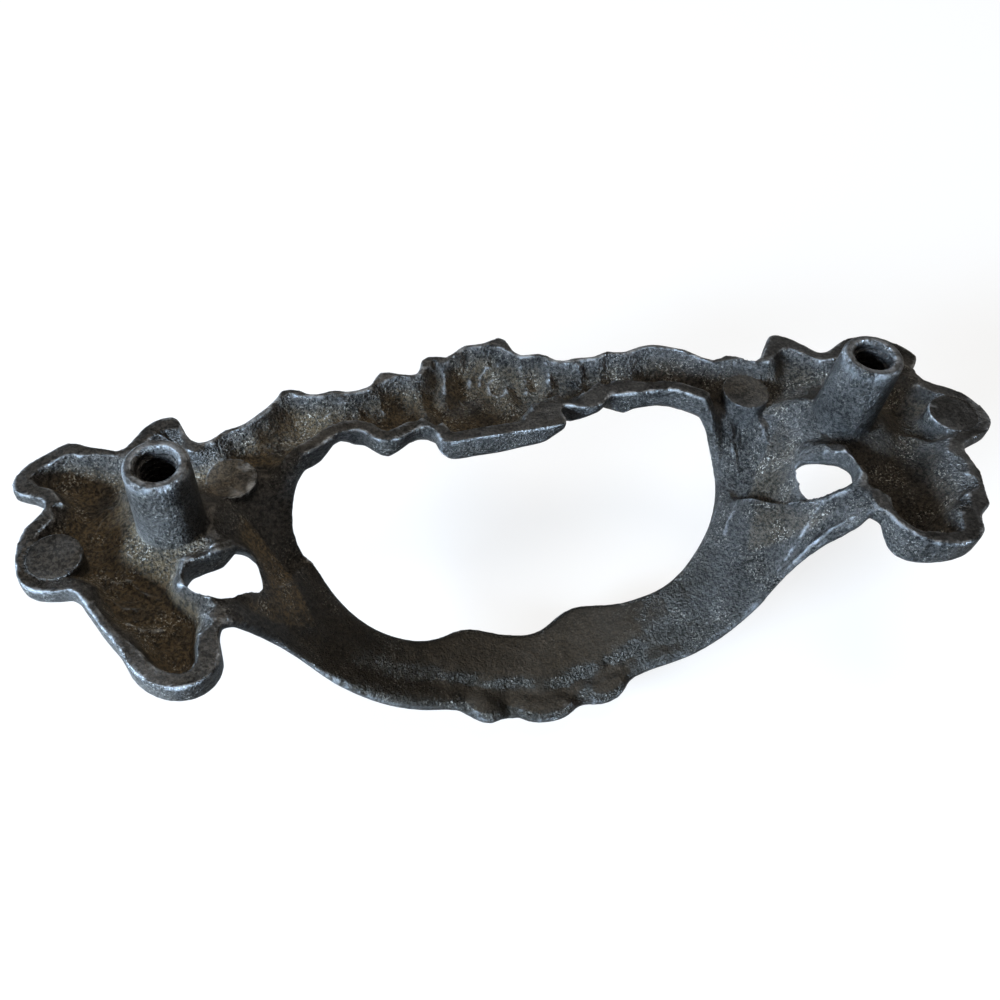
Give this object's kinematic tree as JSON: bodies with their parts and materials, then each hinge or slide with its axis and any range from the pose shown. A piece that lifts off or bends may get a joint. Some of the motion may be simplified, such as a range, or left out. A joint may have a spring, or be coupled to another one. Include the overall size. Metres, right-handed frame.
{
  "type": "drawer pull",
  "caption": "One-piece cast drawer pull with carved leaf plates, a leaf swag and a bowed bail, screwed on from behind through two tapped posts.",
  "frame": {"origin": "midway between the two screw posts, on the plane of the drawer front that their ends touch", "axes": "+X along the pull from post to post, +Y from the bail up to the leaf swag, +Z into the drawer front"},
  "size_m": [0.1078, 0.0424, 0.0317],
  "materials": {
    "cast_metal": "as-cast zinc alloy with a dark brown-black patina, rusty brown in the hollows and rubbed smooth on the rims"
  },
  "bodies": {
    "root": {"pull_casting": "cast_metal"}
  },
  "joints": []
}
